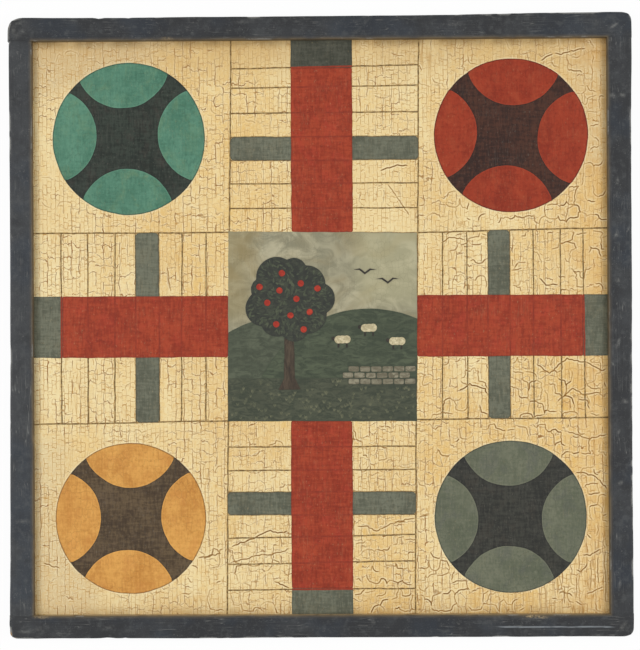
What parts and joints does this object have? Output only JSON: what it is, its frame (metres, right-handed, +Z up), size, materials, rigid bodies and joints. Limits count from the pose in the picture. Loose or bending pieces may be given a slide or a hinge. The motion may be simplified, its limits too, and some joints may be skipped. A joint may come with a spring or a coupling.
{
  "type": "game board",
  "caption": "Square painted wooden game board with a raised half-lapped frame, a cross-shaped track, home discs in the corners and a small picture in the middle.",
  "frame": {"origin": "middle of the underside, on the surface the board lies on", "axes": "+Z up out of the playing face, +X to the right and +Y to the top of the playing face"},
  "size_m": [0.4952, 0.4944, 0.0191],
  "materials": {
    "pine": "bare aged pine, planed, dusty",
    "frame_paint": "blue-black paint over pine, eggshell, rubbed at the edges",
    "nail_iron": "dull dark iron",
    "cream_paint": "old cream paint, crackled, low sheen",
    "line_paint": "thin dark brown line, matt",
    "red_paint": "brick red paint, low sheen",
    "grey_green_paint": "grey-green paint, low sheen",
    "green_disc_ground": "charcoal paint, low sheen",
    "red_disc_ground": "dark brown paint, low sheen",
    "ochre_disc_ground": "brown-black paint, low sheen",
    "slate_disc_ground": "grey-black paint, low sheen",
    "green_paint": "blue-green paint, low sheen",
    "lens_red_paint": "brick red paint, low sheen",
    "ochre_paint": "ochre paint, low sheen",
    "slate_paint": "slate grey-green paint, low sheen",
    "sky_paint": "mottled grey sky, low sheen",
    "far_hill_paint": "dark grey-green paint, low sheen",
    "near_hill_paint": "dark green paint, low sheen",
    "meadow_paint": "dark green paint, low sheen",
    "stone_paint": "grey-tan paint, low sheen",
    "trunk_paint": "dark brown paint, low sheen",
    "crown_paint": "charcoal green paint, low sheen",
    "apple_paint": "bright red paint, low sheen",
    "fleece_paint": "pale cream paint, low sheen",
    "detail_paint": "black-brown paint, low sheen"
  },
  "bodies": {
    "root": {"plank_left": "pine", "plank_centre": "pine", "plank_right": "pine", "rail_top": "frame_paint", "rail_bottom": "frame_paint", "stile_left": "frame_paint", "stile_right": "frame_paint", "rail_nails": "frame_paint", "stile_nails": "nail_iron", "corner_nails": "nail_iron", "ground_coat": "cream_paint", "long_lines": "line_paint", "space_lines": "line_paint", "red_track_top": "red_paint", "red_track_bottom": "red_paint", "red_track_left": "red_paint", "red_track_right": "red_paint", "end_space_top": "grey_green_paint", "end_space_bottom": "grey_green_paint", "end_space_left": "grey_green_paint", "end_space_right": "grey_green_paint", "safe_spaces_top": "grey_green_paint", "safe_spaces_bottom": "grey_green_paint", "safe_spaces_left": "grey_green_paint", "safe_spaces_right": "grey_green_paint", "cross_green": "green_disc_ground", "cross_red": "red_disc_ground", "cross_ochre": "ochre_disc_ground", "cross_slate": "slate_disc_ground", "lenses_green": "green_paint", "lenses_red": "lens_red_paint", "lenses_ochre": "ochre_paint", "lenses_slate": "slate_paint", "picture_sky": "sky_paint", "picture_far_hill": "far_hill_paint", "picture_near_hill": "near_hill_paint", "picture_meadow": "meadow_paint", "picture_wall": "stone_paint", "picture_trunk": "trunk_paint", "picture_crown": "crown_paint", "picture_apples": "apple_paint", "picture_fleeces": "fleece_paint", "picture_dark_details": "detail_paint"}
  },
  "joints": []
}
